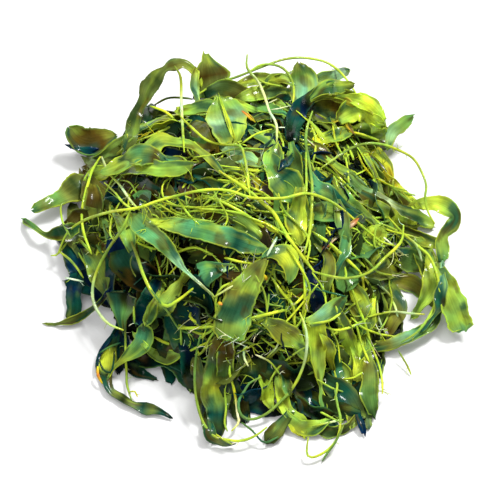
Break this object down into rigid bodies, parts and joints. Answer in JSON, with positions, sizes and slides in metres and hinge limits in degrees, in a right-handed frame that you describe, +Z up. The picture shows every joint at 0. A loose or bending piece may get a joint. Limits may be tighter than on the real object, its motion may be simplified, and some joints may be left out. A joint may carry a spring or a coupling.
{
  "type": "caulerpa seaweed clump",
  "caption": "Loose heap of strap-leaved green caulerpa seaweed: glossy blades, round creeping runners and tangled rhizoids, lying as it was put down.",
  "frame": {"origin": "on the surface that the heap rests on, under the middle rhizoid tuft's flat underside", "axes": "+Z up out of the resting surface, +X to the heap's right and +Y away from its front, seen from the side it is laid out for"},
  "size_m": [0.1587, 0.1528, 0.051],
  "materials": {
    "frond_lime": "wet, waxy lime-green blade",
    "frond_leaf": "wet, waxy mid-green blade",
    "frond_teal": "wet, waxy blue-green blade",
    "frond_olive": "wet, dark olive blade",
    "frond_navy": "wet, blue-black blade",
    "runner": "wet, yellow-green round stem",
    "pale_runner": "wet, pale green round stem",
    "rhizoid_tangle": "fine cream and yellow-green threads"
  },
  "bodies": {
    "root": {"frond_back_east": "frond_olive", "frond_back_middle": "frond_teal", "frond_back_west": "frond_leaf", "frond_bright_leaf": "frond_leaf", "frond_chain": "frond_lime", "frond_crown_ridge": "frond_lime", "frond_crown_teal": "frond_teal", "frond_dark_fan": "frond_olive", "frond_east_big_lime": "frond_lime", "frond_east_diagonal": "frond_leaf", "frond_east_loop": "frond_lime", "frond_east_olive": "frond_olive", "frond_east_point": "frond_leaf", "frond_east_shoulder": "frond_lime", "frond_east_twisted": "frond_teal", "frond_east_waxy": "frond_teal", "frond_east_yellow": "frond_lime", "frond_folded_over": "frond_lime", "frond_lime_hook": "frond_lime", "frond_long_central": "frond_leaf", "frond_long_lime": "frond_lime", "frond_navy_blade": "frond_navy", "frond_north_olive": "frond_olive", "frond_north_waxy": "frond_teal", "frond_north_west_arch": "frond_leaf", "frond_olive_central": "frond_leaf", "frond_south_big": "frond_olive", "frond_south_east_bright": "frond_lime", "frond_south_east_chain": "frond_lime", "frond_south_east_pale": "frond_leaf", "frond_south_pointed": "frond_lime", "frond_south_west_hook": "frond_olive", "frond_stalked_teal": "frond_teal", "frond_teal_triangle": "frond_teal", "frond_west_cup": "frond_olive", "frond_west_foot": "frond_navy", "frond_west_navy": "frond_navy", "frond_west_spread": "frond_leaf", "rhizoid_tuft_east": "rhizoid_tangle", "rhizoid_tuft_middle": "rhizoid_tangle", "rhizoid_tuft_north": "rhizoid_tangle", "rhizoid_tuft_south": "rhizoid_tangle", "rhizoid_tuft_west": "rhizoid_tangle", "runner_back_long": "runner", "runner_crown_curve": "runner", "runner_east_long": "runner", "runner_east_loop": "runner", "runner_east_upright": "runner", "runner_long_bow": "runner", "runner_middle_branch": "runner", "runner_middle_thick": "runner", "runner_north_loop": "runner", "runner_olive_bow": "runner", "runner_pale_north": "pale_runner", "runner_south_east_loop": "runner", "runner_south_pale_loop": "pale_runner", "runner_south_west_loop": "runner", "runner_west_loop": "runner", "runner_west_thick": "runner", "runner_west_upright": "runner"}
  },
  "joints": []
}
